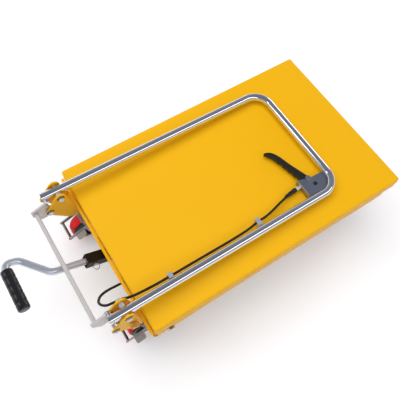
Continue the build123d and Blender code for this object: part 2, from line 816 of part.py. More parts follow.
# Foot pump: a block through the rear plate's notch, with two cheeks for the pedal's pivot
pedal_x = deck_rear + pedal_pivot_x
plunger_z = pedal_pivot_z - plunger_drop
pump_top_y = pedal_y + pump_w / 2
pump_bottom = plunger_z - pump_under
pump_top = pump_bottom + pump_h
with BuildPart() as pump_block:
    with BuildSketch(upright(pump_top_y)):
        with BuildLine():
            Polyline(
                (pump_x, pump_bottom),
                (pump_x + pump_l, pump_bottom),
                (pump_x + pump_l, pump_top),
                (pump_x + pump_cheek_t, pump_top),
                (pump_x, pump_top - pump_cheek_t),
                close=True,
            )
        make_face()
    extrude(amount=pump_w)
    for top in (pump_top_y, pump_top_y - pump_w + pump_cheek_t):
        with BuildSketch(upright(top)):
            with Locations(((pedal_x + pump_x) / 2, pedal_pivot_z)):
                SlotCenterToCenter(pump_from_pivot, 2 * pump_cheek_r)
        extrude(amount=pump_cheek_t)
    cross_pin(pedal_x, pedal_pivot_z, pedal_pin_r, pump_top_y, pump_top_y - pump_w)
    with BuildSketch(Plane.XY.offset(rail_bottom)):
        with Locations((pump_x + (pump_l + pump_flange) / 2, pedal_y)):
            Rectangle(pump_l + pump_flange, pump_w + 2 * pump_flange)
    extrude(amount=pump_flange_t)
    with BuildSketch(Plane(origin=(pump_x, pedal_y, plunger_z), z_dir=(1, 0, 0))):
        Circle(plunger_r + running_gap)
    extrude(amount=plunger_bore_l, mode=Mode.SUBTRACT)
write(pump_block, "pump_block")

plunger_x = pedal_x + nose_r + roller_gap
with BuildPart() as pump_plunger:
    with BuildSketch(Plane(origin=(plunger_x, pedal_y, plunger_z), z_dir=(1, 0, 0))):
        Circle(plunger_head_r)
    extrude(amount=plunger_head_t)
    with BuildSketch(Plane(origin=(plunger_x, pedal_y, plunger_z), z_dir=(1, 0, 0))):
        Circle(plunger_r)
    extrude(amount=plunger_head_t + plunger_l)
write(pump_plunger, "pump_plunger")

# Pedal: a square socket on the pump's pivot, a bent rod with a grip, and a pull pin
pedal_plane = Plane(
    origin=(pedal_x, pedal_y, pedal_pivot_z),
    x_dir=(-cos(radians(pedal_slope)), 0, sin(radians(pedal_slope))),
    z_dir=(-sin(radians(pedal_slope)), 0, -cos(radians(pedal_slope))),
)
with BuildPart() as pedal_socket:
    with BuildSketch(pedal_plane.offset(-pedal_tube / 2)):
        with Locations((pedal_tube_l / 2, 0)):
            Rectangle(pedal_tube_l, pedal_tube)
    extrude(amount=pedal_tube)
    cross_pin(
        pedal_x, pedal_pivot_z, pedal_tube / 2, pedal_y - pedal_tube / 2, pedal_y + pedal_tube / 2
    )
    with BuildSketch(pedal_plane.offset(-pedal_tube / 2 + pedal_tube_wall)):
        with Locations((pedal_tube_l - rod_in_tube, 0)):
            Rectangle(2 * rod_in_tube, pedal_tube - 2 * pedal_tube_wall)
    extrude(amount=pedal_tube - 2 * pedal_tube_wall, mode=Mode.SUBTRACT)
    with BuildSketch(upright(pedal_y + nose_w / 2)):
        with Locations((pedal_x, plunger_z)):
            Circle(nose_r)
        with Locations((pedal_x, (pedal_pivot_z + plunger_z) / 2)):
            Rectangle(2 * nose_r, plunger_drop)
    extrude(amount=nose_w)
    cross_pin(
        pedal_x, pedal_pivot_z, pedal_pin_r + running_gap,
        pedal_y - pedal_tube, pedal_y + pedal_tube, Mode.SUBTRACT,
    )
    pull_pin_spot = pedal_plane.from_local_coords(Vector(pull_pin_back, 0, 0))
    cross_pin(
        pull_pin_spot.X, pull_pin_spot.Z, pull_pin_r,
        pedal_y - pedal_tube, pedal_y + pedal_tube, Mode.SUBTRACT,
    )
write(pedal_socket, "pedal_socket")

# The rod's route in the pedal's plane: straight, stepped to the left, then across to the right
rod_start = pedal_tube_l - rod_in_tube
grip_back = (pedal_x - (deck_rear - pedal_reach) - grip_r) / cos(radians(pedal_slope))
step_end = grip_back - rod_end_run
rod_points = [
    (rod_start, 0),
    (step_end - rod_bend_run, 0),
    (step_end, rod_side_step),
    (grip_back, rod_side_step),
    (grip_back, rod_side_step - rod_end_bend_r - grip_from_bend - grip_l + grip_r),
]
with BuildPart() as pedal_rod:
    with BuildLine(pedal_plane):
        rod_path = FilletPolyline(*rod_points, radius=[rod_bend_r, rod_bend_r, rod_end_bend_r])
    with BuildSketch(Plane(origin=rod_path @ 0, z_dir=rod_path % 0)):
        Circle(pedal_rod_r)
    sweep(path=rod_path)
    cross_pin(
        pull_pin_spot.X, pull_pin_spot.Z, pull_pin_r,
        pedal_y - pedal_tube, pedal_y + pedal_tube, Mode.SUBTRACT,
    )
write(pedal_rod, "pedal_rod")

grip_start = rod_side_step - rod_end_bend_r - grip_from_bend
grip_origin = pedal_plane.from_local_coords(Vector(grip_back, grip_start, 0))
grip_plane = Plane(origin=grip_origin, x_dir=pedal_plane.z_dir, z_dir=-pedal_plane.y_dir)
with BuildPart() as pedal_grip:
    with BuildSketch(grip_plane):
        Circle(grip_r)
    extrude(amount=grip_l)
    grip_pitch = grip_l / (grip_grooves + 1)
    for groove in range(1, grip_grooves + 1):
        with BuildSketch(grip_plane.offset(groove * grip_pitch)):
            Circle(grip_r)
            Circle(grip_r - grip_groove, mode=Mode.SUBTRACT)
        extrude(amount=2 * grip_groove, mode=Mode.SUBTRACT)
    with BuildSketch(grip_plane):
        Circle(pedal_rod_r)
    extrude(amount=grip_l - grip_r, mode=Mode.SUBTRACT)
write(pedal_grip, "pedal_grip")

pin_end = pedal_y - pedal_tube / 2 - pull_ring_t
with BuildPart() as pull_pin:
    cross_pin(
        pull_pin_spot.X, pull_pin_spot.Z, pull_pin_r, pin_end, pedal_y + pedal_tube / 2 + pull_ring_t
    )
    with BuildSketch(upright(pin_end)):
        with Locations((pull_pin_spot.X, pull_pin_spot.Z - pull_ring_r + pull_pin_r)):
            Circle(pull_ring_r)
            Circle(pull_ring_r - pull_ring_t, mode=Mode.SUBTRACT)
    extrude(amount=pull_ring_t)
write(pull_pin, "pull_pin")

# Handle beam behind the deck's rear skirt, on welded pads
with BuildPart() as handle_beam:
    with BuildSketch(Plane.YZ.offset(bracket_x)):
        with Locations((0, deck_height - (beam_top + beam_bottom) / 2)):
            Rectangle(deck_width - 2 * beam_inset, beam_bottom - beam_top)
    extrude(amount=beam_t)
    with BuildSketch(Plane.YZ.offset(beam_x)):
        with Locations((0, deck_height - beam_top - beam_pad_h / 2)):
            with GridLocations(deck_width / 4, 1, 4, 1):
                Rectangle(beam_pad_l, beam_pad_h)
    extrude(amount=beam_gap)
write(handle_beam, "handle_beam")

# Handle brackets: folded channels whose two cheeks hold the handle's and the latch's pivots
bracket_bottom = deck_height - bracket_low


def cheek_outline():
    """A cheek's outline: round at both pivots, with a straight front edge against the beam."""
    with BuildSketch(mode=Mode.PRIVATE) as outline:
        with Locations((handle_x, handle_z)):
            Circle(bracket_lobe_r)
        with Locations((latch_x, latch_z)):
            Circle(latch_lobe_r)
        with BuildLine():
            Polyline((bracket_x, deck_height + bracket_front_top), (bracket_x, bracket_bottom))
            Line((bracket_x, bracket_bottom), (handle_x, bracket_bottom + latch_lobe_r))
            Line((handle_x, bracket_bottom + latch_lobe_r), (bracket_x, deck_height + bracket_front_top))
        make_face()
        make_hull(outline.edges())
    return outline.sketch


for name, side in (("left", 1), ("right", -1)):
    with BuildPart() as bracket:
        for near, far in ((bracket_in_a, bracket_in_b), (bracket_out_a, bracket_out_b)):
            with BuildSketch(upright(slab_top(side, near, far))):
                add(cheek_outline())
            extrude(amount=bracket_t)
        with BuildSketch(upright(slab_top(side, bracket_in_b, bracket_out_a))):
            with Locations((bracket_x - bracket_t / 2, deck_height + (bracket_front_top - bracket_low) / 2)):
                Rectangle(bracket_t, bracket_low + bracket_front_top)
        extrude(amount=bracket_out_a - bracket_in_b)
        side_pin(side, handle_x, handle_z, handle_pin_r, bracket_in_a, bracket_out_b, Mode.SUBTRACT)
        side_pin(
            side, latch_x, latch_z, latch_shaft_r + running_gap,
            bracket_in_a, bracket_out_b, Mode.SUBTRACT,
        )
    write(bracket, f"handle_bracket_{name}")

with BuildPart() as handle_pivot_bolts:
    for side in (1, -1):
        side_pin(side, handle_x, handle_z, handle_pin_r, bracket_in_a, bracket_out_b)
        side_pin(side, handle_x, handle_z, handle_spacer_r, bracket_in_b, tube_in - roller_gap)
        hex_head(handle_x, handle_z, nut_r, side * bracket_in_a, side * (bracket_in_a - nut_t))
        hex_head(handle_x, handle_z, nut_r, side * bracket_out_b, side * (bracket_out_b + nut_t))
write(handle_pivot_bolts, "handle_pivot_bolts")

# Latch: two hooked arms on short shafts, joined by a round bar
sweep_r = tail_pin_back + tail_pin_r + latch_clear
bar_x = latch_x - latch_bar_back
bar_z = latch_z + latch_bar_up


def on_sweep(angle):
    """A point on the arc that the arms leave free for the tail pins, by angle about the pivot."""
    return (
        handle_x + sweep_r * cos(radians(angle)),
        handle_z + sweep_r * sin(radians(angle)),
    )


with BuildPart() as latch_arms:
    for side in (1, -1):
        with BuildSketch(upright(slab_top(side, arm_in, arm_out))):
            nose_top = on_sweep(latch_hook_to)
            with BuildLine():
                ThreePointArc(on_sweep(latch_hook_from), on_sweep(latch_hook_mid), nose_top)
                Polyline(
                    nose_top,
                    (nose_top[0] + latch_nose[0], nose_top[1] + latch_nose[1]),
                    (nose_top[0] + latch_nose[0], latch_z + latch_throat_z),
                    (latch_x + latch_heel[0], latch_z + latch_heel[1]),
                    (latch_x + latch_sole_front[0], latch_z + latch_sole_front[1]),
                    (latch_x + latch_sole_rear[0], latch_z + latch_sole_rear[1]),
                    (bar_x - latch_back, bar_z + latch_back_low),
                    (bar_x - latch_back, bar_z + latch_back_high),
                    on_sweep(latch_hook_from),
                )
            make_face()
            with Locations((bar_x, bar_z)):
                Circle(latch_bar_r, mode=Mode.SUBTRACT)
            with Locations((latch_x, latch_z)):
                Circle(latch_shaft_r, mode=Mode.SUBTRACT)
        extrude(amount=latch_arm_t)
write(latch_arms, "latch_arms")

with BuildPart() as latch_bar:
    cross_pin(bar_x, bar_z, latch_bar_r, -arm_out, arm_out)
write(latch_bar, "latch_bar")

with BuildPart() as latch_shafts:
    for side in (1, -1):
        side_pin(side, latch_x, latch_z, latch_shaft_r, bracket_in_a, bracket_out_b)
        for near, far in ((bracket_in_a, bracket_in_a - nut_t), (bracket_out_b, bracket_out_b + nut_t)):
            gap = running_gap if far > near else -running_gap
            hex_head(latch_x, latch_z, nut_r, side * (near + gap), side * (far + gap))
            side_pin(side, latch_x, latch_z, latch_shaft_r, near, near + gap)
write(latch_shafts, "latch_shafts")

# Latch spring on the right bracket's outer cheek: the coil's outer shape
spring_end = Vector(
    deck_rear - spring_back, -bracket_out_b - spring_gap - spring_r, deck_height + spring_z
)
spring_dir = Vector(cos(radians(spring_slope)), 0, sin(radians(spring_slope)))
with BuildPart() as latch_spring:
    with BuildSketch(Plane(origin=spring_end - spring_dir * (spring_l / 2), z_dir=spring_dir)):
        Circle(spring_r)
        Circle(spring_bore_r, mode=Mode.SUBTRACT)
    extrude(amount=spring_l)
write(latch_spring, "latch_spring")

# Push handle: a bent tube with a pin through each tail
with BuildPart() as handle_tube:
    with BuildLine(handle_plane):
        handle_path = FilletPolyline(
            (-handle_tail, tube_y),
            (handle_reach, tube_y),
            (handle_reach, -tube_y),
            (-handle_tail, -tube_y),
            radius=handle_bend_r,
        )
    with BuildSketch(Plane(origin=handle_path @ 0, z_dir=handle_path % 0)):
        Circle(handle_tube_r)
        Circle(handle_tube_r - handle_wall, mode=Mode.SUBTRACT)
    sweep(path=handle_path)
    pin_spot = handle_plane.from_local_coords(Vector(-tail_pin_back, 0, 0))
    for side in (1, -1):
        side_pin(
            side, pin_spot.X, pin_spot.Z, tail_pin_r, tube_in - tail_pin_inner,
            tube_y + handle_tube_r,
        )
        side_pin(
            side, handle_x, handle_z, handle_pin_r + running_gap,
            bracket_in_a, bracket_out_b, Mode.SUBTRACT,
        )
write(handle_tube, "handle_tube")

# Corner plate: fills the loop's right corner, with a lip folded down at its rear edge
plate_rear = handle_reach - handle_tube_r - corner_plate_l
plate_left = -tube_in + corner_plate_w
bend_u = handle_reach - handle_bend_r
bend_y = -tube_y + handle_bend_r
inner_bend = handle_bend_r - handle_tube_r - weld_gap
lever_u = handle_reach - lever_back
lever_y = -tube_y + lever_side
lip_drop = handle_pivot_z - (plate_rear * sin(handle_slope)) - lip_rest_gap
with BuildPart() as corner_plate:
    with BuildSketch(handle_plane.offset(-corner_plate_t / 2)):
        with BuildLine():
            Polyline(
                (bend_u, -tube_in + weld_gap),
                (plate_rear, -tube_in + weld_gap),
                (plate_rear, plate_left),
                (lever_u + lever_boss_r / 2, lever_y - lever_boss_r / 8),
                (handle_reach - handle_tube_r - weld_gap, lever_y - lever_boss_r / 4),
                (handle_reach - handle_tube_r - weld_gap, bend_y),
            )
            ThreePointArc(
                (bend_u + inner_bend, bend_y),
                (bend_u + inner_bend * sin(radians(45)), bend_y - inner_bend * sin(radians(45))),
                (bend_u, bend_y - inner_bend),
            )
        make_face()
        with Locations((lever_u, lever_y)):
            Circle(lever_pin_r, mode=Mode.SUBTRACT)
        with Locations((lever_u + 0.6 * lever_boss_r, lever_y - 1.7 * lever_boss_r)):
            Circle(lever_pin_r / 2, mode=Mode.SUBTRACT)
    extrude(amount=corner_plate_t)
    with BuildSketch(handle_plane):
        with Locations((plate_rear + corner_lip_t / 2, (plate_left - tube_in + weld_gap) / 2)):
            Rectangle(corner_lip_t, plate_left + tube_in - weld_gap)
    extrude(amount=-lip_drop / cos(handle_slope))
    with BuildSketch(Plane(origin=on_handle(plate_rear, adjuster_y, -adjuster_drop), z_dir=handle_plane.x_dir)):
        Circle(adjuster_r - corner_lip_t / 2)
    extrude(amount=corner_lip_t, mode=Mode.SUBTRACT)
write(corner_plate, "corner_plate")

# Release lever: a curved finger lever with scallops on its rear side, under the corner plate
lever_plane = handle_plane.offset(-corner_plate_t / 2 - lever_gap - lever_t)


def on_lever(points):
    """Points given from the lever's pivot, in the handle's plane."""
    return [(lever_u + u, lever_y + y) for u, y in points]


tip, tip_end, boss_back, boss_end = on_lever((lever_tip, lever_tip_end, lever_boss_back, lever_boss_end))
front_edge = on_lever(lever_front)
heel_edge = on_lever(lever_heel)
finger_edge = heel_edge[-1:] + on_lever(lever_fingers)
with BuildPart() as release_lever:
    with BuildSketch(lever_plane):
        with BuildLine():
            Spline(*front_edge, tip)
            RadiusArc(tip, tip_end, -lever_tip_r)
            Spline(tip_end, *heel_edge)
            for finger_from, finger_to in zip(finger_edge, finger_edge[1:]):
                RadiusArc(finger_from, finger_to, lever_finger_r)
            ThreePointArc(finger_edge[-1], boss_back, boss_end)
            Line(boss_end, front_edge[0])
        make_face()
        with Locations((lever_u, lever_y)):
            Circle(lever_pin_r + running_gap, mode=Mode.SUBTRACT)
    extrude(amount=lever_t)
write(release_lever, "release_lever")

with BuildPart() as lever_bolt:
    under = lever_t + lever_gap + corner_plate_t / 2 + roller_gap
    with BuildSketch(handle_plane.offset(-under)):
        with Locations((lever_u, lever_y)):
            Circle(lever_pin_r)
    extrude(amount=under + corner_plate_t / 2)
    with BuildSketch(handle_plane.offset(corner_plate_t / 2)):
        with Locations((lever_u, lever_y)):
            Circle(lever_pin_head_r)
    extrude(amount=lever_pin_head_t)
    with BuildSketch(handle_plane.offset(-under)):
        with Locations((lever_u, lever_y)):
            RegularPolygon(lever_pin_head_r, 6)
    extrude(amount=-lever_pin_head_t / 2)
write(lever_bolt, "lever_bolt")

# Cable: adjuster and boot at the corner plate, then three runs
adjuster_plane = Plane(
    origin=on_handle(plate_rear, adjuster_y, -adjuster_drop), z_dir=-handle_plane.x_dir
)
with BuildPart() as cable_adjuster:
    with BuildSketch(adjuster_plane):
        RegularPolygon(adjuster_r, 6)
        Circle(cable_r, mode=Mode.SUBTRACT)
    extrude(amount=adjuster_l)
    with BuildSketch(adjuster_plane):
        Circle(adjuster_r - corner_lip_t / 2)
        Circle(cable_r - corner_lip_t / 2, mode=Mode.SUBTRACT)
    extrude(amount=-corner_lip_t)
write(cable_adjuster, "cable_adjuster")

with BuildPart() as cable_boot:
    with BuildSketch(adjuster_plane.offset(adjuster_l)):
        Circle(boot_r)
    with BuildSketch(adjuster_plane.offset(adjuster_l + boot_l)):
        Circle(boot_tip_r)
    loft()
    with BuildSketch(adjuster_plane.offset(adjuster_l)):
        Circle(cable_r)
    extrude(amount=boot_l, mode=Mode.SUBTRACT)
write(cable_boot, "cable_boot")


def from_deck(x, y, z):
    """A point given from the deck's rear edge and its top face."""
    return (deck_rear + x, y, deck_height + z)


def between(start, end, share):
    """A point on the straight run from start to end."""
    return tuple(a + (b - a) * share for a, b in zip(start, end))


boot_end_u = plate_rear - adjuster_l - boot_l
last_on_handle = on_handle(74.0, -146.0, 0.0)
first_on_deck = from_deck(-7.8, -132.9, 17.0)
handle_end = between(last_on_handle, first_on_deck, 0.5)
handle_route = [
    on_handle(boot_end_u + boot_l, adjuster_y, -adjuster_drop),
    on_handle(boot_end_u - 24.0, adjuster_y, -adjuster_drop),
    on_handle(clip_u[0] + 26.0, -130.5, -5.0),
    on_handle(clip_u[0], clip_y[0], clip_drop[0]),
    on_handle(clip_u[0] - 40.0, -145.0, -1.0),
    on_handle(clip_u[1] + 60.0, -146.0, 0.5),
    on_handle(clip_u[1], clip_y[1], clip_drop[1]),
    last_on_handle,
    handle_end,
]
cable_handle_run = cable(handle_route)
write(cable_handle_run, "cable_handle_run")

with BuildPart() as cable_clips:
    for clip_at, across, drop in zip(clip_u, clip_y, clip_drop):
        with BuildSketch(Plane(origin=on_handle(clip_at - clip_l / 2, 0, 0), z_dir=handle_plane.x_dir,
                               x_dir=(0, 1, 0))):
            clip_edge = across + cable_r + cable_hole_gap + clip_wall
            with Locations(((clip_edge - tube_in - weld_gap) / 2, 0)):
                Rectangle(clip_edge + tube_in - weld_gap, clip_h)
            with Locations((across, drop)):
                Circle(cable_r + cable_hole_gap, mode=Mode.SUBTRACT)
        extrude(amount=clip_l)
write(cable_clips, "cable_clips")

deck_end = from_deck(-16.0, -77.5, -57.0)
leg_start = from_deck(26.0, -79.0, -58.0)
loop_end = between(deck_end, leg_start, 0.5)
loop_route = [
    handle_end,
    first_on_deck,
    from_deck(-24.3, -122.9, 20.0),
    from_deck(-45.1, -120.3, 18.0),
    from_deck(-60.0, -117.5, 13.0),
    from_deck(-70.0, -104.0, 0.0),
    from_deck(-62.0, -90.0, -18.0),
    from_deck(-42.0, -81.0, -38.0),
    deck_end,
    loop_end,
]
cable_loop = cable(loop_route)
write(cable_loop, "cable_loop")

leg_side = -inner_leg_in + cable_r + roller_gap


def towards_leg(share):
    """The y at a share of the way from the cable's crossing under the beam to the leg's side."""
    return leg_start[1] + (leg_side - leg_start[1]) * share


spool_end = ram_tube_x - valve_r - valve_spool_l
leg_route = [
    loop_end,
    leg_start,
    from_deck(50.0, towards_leg(0.21), -47.0),
    from_deck(70.0, towards_leg(0.51), -36.0),
    from_deck(98.0, towards_leg(0.79), -31.0),
    from_deck(140.0, leg_side, -31.5),
    from_deck(190.0, leg_side + 0.5, -34.0),
    from_deck(226.0, 0.6 * leg_side + 0.4 * valve_y, -39.0),
    (spool_end - 28.0, valve_y, ram_tube_z),
    (spool_end, valve_y, ram_tube_z),
]
cable_leg_run = cable(leg_route)
write(cable_leg_run, "cable_leg_run")

stroke_check = hypot(
    pivot_x + ram_tube_from_pivot * cos(radians(raised_angle)) - ram_foot_x,
    base_pivot_z + (leg_length - ram_tube_from_pivot) * sin(radians(raised_angle)) - ram_foot_z,
)
print("lift angle:", round(raised_angle - closed_angle, 3), "ram stroke:", round(stroke_check - cylinder_l, 2))
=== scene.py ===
"""Looks of the mobile scissor lift table: yellow powder-coated sheet, chromed tube, zinc-plated
fittings, black mouldings, red caster treads, a brake-type cable and a coil spring."""

import json
import math

import bpy
from mathutils import Matrix, Vector

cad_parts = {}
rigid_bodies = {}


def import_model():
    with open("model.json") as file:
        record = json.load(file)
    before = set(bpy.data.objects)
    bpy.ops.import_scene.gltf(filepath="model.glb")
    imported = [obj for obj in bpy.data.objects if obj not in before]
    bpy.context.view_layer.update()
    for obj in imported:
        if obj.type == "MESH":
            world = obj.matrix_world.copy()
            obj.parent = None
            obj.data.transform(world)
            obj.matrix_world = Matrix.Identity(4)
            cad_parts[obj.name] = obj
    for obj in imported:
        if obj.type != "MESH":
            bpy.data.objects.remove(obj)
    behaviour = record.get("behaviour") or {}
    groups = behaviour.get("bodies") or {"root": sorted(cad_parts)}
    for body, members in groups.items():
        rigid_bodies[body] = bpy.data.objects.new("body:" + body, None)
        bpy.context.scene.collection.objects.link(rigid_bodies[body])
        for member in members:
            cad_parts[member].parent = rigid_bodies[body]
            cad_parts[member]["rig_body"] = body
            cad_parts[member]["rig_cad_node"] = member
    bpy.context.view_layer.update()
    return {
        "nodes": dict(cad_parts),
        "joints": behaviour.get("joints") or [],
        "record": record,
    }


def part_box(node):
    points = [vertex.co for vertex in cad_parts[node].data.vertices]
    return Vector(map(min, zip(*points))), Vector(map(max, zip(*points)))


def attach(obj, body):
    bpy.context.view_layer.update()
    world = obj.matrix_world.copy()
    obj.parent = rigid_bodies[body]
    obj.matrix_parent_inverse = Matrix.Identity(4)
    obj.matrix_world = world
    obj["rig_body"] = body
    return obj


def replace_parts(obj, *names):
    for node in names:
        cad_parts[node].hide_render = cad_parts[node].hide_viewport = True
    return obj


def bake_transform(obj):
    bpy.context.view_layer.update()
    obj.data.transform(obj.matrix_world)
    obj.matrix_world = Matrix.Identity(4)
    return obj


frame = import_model()
nodes = frame["nodes"]
body_of_node = {
    node: body for body, members in frame["record"]["behaviour"]["bodies"].items() for node in members
}
slot_of_node = {row["node"]: row["material_slot"] for row in frame["record"]["subparts"]}
joint_place = {joint["name"]: joint.get("pos_m") for joint in frame["joints"]}

scene = bpy.context.scene
scene.view_settings.view_transform = "Standard"

MM = 0.001
SIDES = ("left", "right")
deck_low, deck_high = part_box("deck")
DECK_REAR = deck_low.x
DECK_TOP = deck_high.z


def from_deck(x_mm, y_mm, z_mm):
    """A point given in millimetres from the middle of the deck's rear edge, at its top."""
    return Vector((DECK_REAR + x_mm * MM, y_mm * MM, DECK_TOP + z_mm * MM))


# Shader node groups: patches are per metre, edges are where a noise value starts and ends to count
GLOSS_PATCHES = 14.0
MARK_PATCHES = 9.0
STREAK_EDGE = (0.58, 0.72)
PATCH_EDGE = (0.45, 0.7)
NOISE_MIDDLE = 0.5


def new_group(name, inputs, outputs):
    """An empty shader node group with named sockets, whose inputs start at the given values."""
    group = bpy.data.node_groups.new(name, "ShaderNodeTree")
    for socket, kind, value in inputs:
        made = group.interface.new_socket(socket, in_out="INPUT", socket_type=kind)
        made.default_value = value
    for socket, kind in outputs:
        group.interface.new_socket(socket, in_out="OUTPUT", socket_type=kind)
    entry = group.nodes.new("NodeGroupInput")
    leave = group.nodes.new("NodeGroupOutput")
    return group, entry, leave


def orange_peel_group():
    """The slight waviness of a baked coat: a height for a Bump node and a roughness that drifts."""
    group, entry, leave = new_group(
        "orange peel",
        [
            ("Scale", "NodeSocketFloat", 900.0),
            ("Roughness", "NodeSocketFloat", 0.35),
            ("Drift", "NodeSocketFloat", 0.06),
        ],
        [("Height", "NodeSocketFloat"), ("Roughness", "NodeSocketFloat")],
    )
    link = group.links.new
    coords = group.nodes.new("ShaderNodeTexCoord")
    fine = group.nodes.new("ShaderNodeTexNoise")
    fine.inputs["Detail"].default_value = 2.0
    broad = group.nodes.new("ShaderNodeTexNoise")
    broad.inputs["Scale"].default_value = GLOSS_PATCHES
    broad.inputs["Detail"].default_value = 4.0
    centred = group.nodes.new("ShaderNodeMath")
    centred.operation = "SUBTRACT"
    centred.inputs[1].default_value = NOISE_MIDDLE
    drifted = group.nodes.new("ShaderNodeMath")
    drifted.operation = "MULTIPLY_ADD"
    link(coords.outputs["Object"], fine.inputs["Vector"])
    link(coords.outputs["Object"], broad.inputs["Vector"])
    link(entry.outputs["Scale"], fine.inputs["Scale"])
    link(fine.outputs["Fac"], leave.inputs["Height"])
    link(broad.outputs["Fac"], centred.inputs[0])
    link(centred.outputs[0], drifted.inputs[0])
    link(entry.outputs["Drift"], drifted.inputs[1])
    link(entry.outputs["Roughness"], drifted.inputs[2])
    link(drifted.outputs[0], leave.inputs["Roughness"])
    return group


def handling_marks_group():
    """Faint rubbed marks: a mask of stretched fine streaks that only shows in patches."""
    group, entry, leave = new_group(
        "handling marks",
        [("Stretch", "NodeSocketVector", (40.0, 400.0, 400.0)), ("Amount", "NodeSocketFloat", 0.5)],
        [("Mask", "NodeSocketFloat")],
    )
    link = group.links.new
    coords = group.nodes.new("ShaderNodeTexCoord")
    stretched = group.nodes.new("ShaderNodeVectorMath")
    stretched.operation = "MULTIPLY"
    streaks = group.nodes.new("ShaderNodeTexNoise")
    streaks.inputs["Scale"].default_value = 1.0
    streaks.inputs["Detail"].default_value = 5.0
    patches = group.nodes.new("ShaderNodeTexNoise")
    patches.inputs["Scale"].default_value = MARK_PATCHES
    sharp = group.nodes.new("ShaderNodeMapRange")
    sharp.inputs["From Min"].default_value, sharp.inputs["From Max"].default_value = STREAK_EDGE
    where = group.nodes.new("ShaderNodeMapRange")
    where.inputs["From Min"].default_value, where.inputs["From Max"].default_value = PATCH_EDGE
    both = group.nodes.new("ShaderNodeMath")
    both.operation = "MULTIPLY"
    scaled = group.nodes.new("ShaderNodeMath")
    scaled.operation = "MULTIPLY"
    link(coords.outputs["Object"], stretched.inputs[0])
    link(entry.outputs["Stretch"], stretched.inputs[1])
    link(stretched.outputs[0], streaks.inputs["Vector"])
    link(coords.outputs["Object"], patches.inputs["Vector"])
    link(streaks.outputs["Fac"], sharp.inputs["Value"])
    link(patches.outputs["Fac"], where.inputs["Value"])
    link(sharp.outputs["Result"], both.inputs[0])
    link(where.outputs["Result"], both.inputs[1])
    link(both.outputs[0], scaled.inputs[0])
    link(entry.outputs["Amount"], scaled.inputs[1])
    link(scaled.outputs[0], leave.inputs["Mask"])
    return group


orange_peel = orange_peel_group()
handling_marks = handling_marks_group()


# Materials
PEEL_DEPTH = 0.0004


def new_material(name, color, metallic=0.0, roughness=0.4, specular=0.5):
    """A material with its Principled BSDF set to plain values."""
    material = bpy.data.materials.new(name)
    material.use_nodes = True
    shader = material.node_tree.nodes["Principled BSDF"]
    shader.inputs["Base Color"].default_value = (*color, 1.0)
    shader.inputs["Metallic"].default_value = metallic
    shader.inputs["Roughness"].default_value = roughness
    shader.inputs["Specular IOR Level"].default_value = specular
    return material, material.node_tree, shader


def add_peel(tree, shader, scale, roughness, drift, strength):
    """Gives a coat its waviness and its uneven gloss."""
    peel = tree.nodes.new("ShaderNodeGroup")
    peel.node_tree = orange_peel
    peel.inputs["Scale"].default_value = scale
    peel.inputs["Roughness"].default_value = roughness
    peel.inputs["Drift"].default_value = drift
    bump = tree.nodes.new("ShaderNodeBump")
    bump.inputs["Strength"].default_value = strength
    bump.inputs["Distance"].default_value = PEEL_DEPTH
    tree.links.new(peel.outputs["Height"], bump.inputs["Height"])
    tree.links.new(bump.outputs["Normal"], shader.inputs["Normal"])
    tree.links.new(peel.outputs["Roughness"], shader.inputs["Roughness"])


def add_marks(tree, shader, color, marked_color, stretch, amount):
    """Mixes faint rubbed marks into the colour."""
    marks = tree.nodes.new("ShaderNodeGroup")
    marks.node_tree = handling_marks
    marks.inputs["Stretch"].default_value = stretch
    marks.inputs["Amount"].default_value = amount
    mix = tree.nodes.new("ShaderNodeMix")
    mix.data_type = "RGBA"
    plain, marked, mixed = mix.inputs[6], mix.inputs[7], mix.outputs[2]
    plain.default_value = (*color, 1.0)
    marked.default_value = (*marked_color, 1.0)
    tree.links.new(marks.outputs["Mask"], mix.inputs["Factor"])
    tree.links.new(mixed, shader.inputs["Base Color"])


def powder_coat(name, color, marked_color, roughness):
    """A baked powder coat with faint rubbed marks."""
    material, tree, shader = new_material(name, color, roughness=roughness, specular=0.16)
    add_peel(tree, shader, scale=1100.0, roughness=roughness, drift=0.08, strength=0.10)
    add_marks(tree, shader, color, marked_color, stretch=(60.0, 420.0, 420.0), amount=0.10)
    return material


def plated_steel(name, color, marked_color, roughness, drift, metallic=1.0):
    """Plated steel with a slightly uneven gloss and faint rubbed streaks."""
    material, tree, shader = new_material(name, color, metallic=metallic, roughness=roughness)
    add_peel(tree, shader, scale=500.0, roughness=roughness, drift=drift, strength=0.03)
    add_marks(tree, shader, color, marked_color, stretch=(90.0, 90.0, 90.0), amount=0.35)
    return material


def moulded(name, color, roughness, grain, strength, specular=0.5):
    """A moulded plastic or rubber with a fine grain."""
    material, tree, shader = new_material(name, color, roughness=roughness, specular=specular)
    add_peel(tree, shader, scale=grain, roughness=roughness, drift=0.08, strength=strength)
    return material


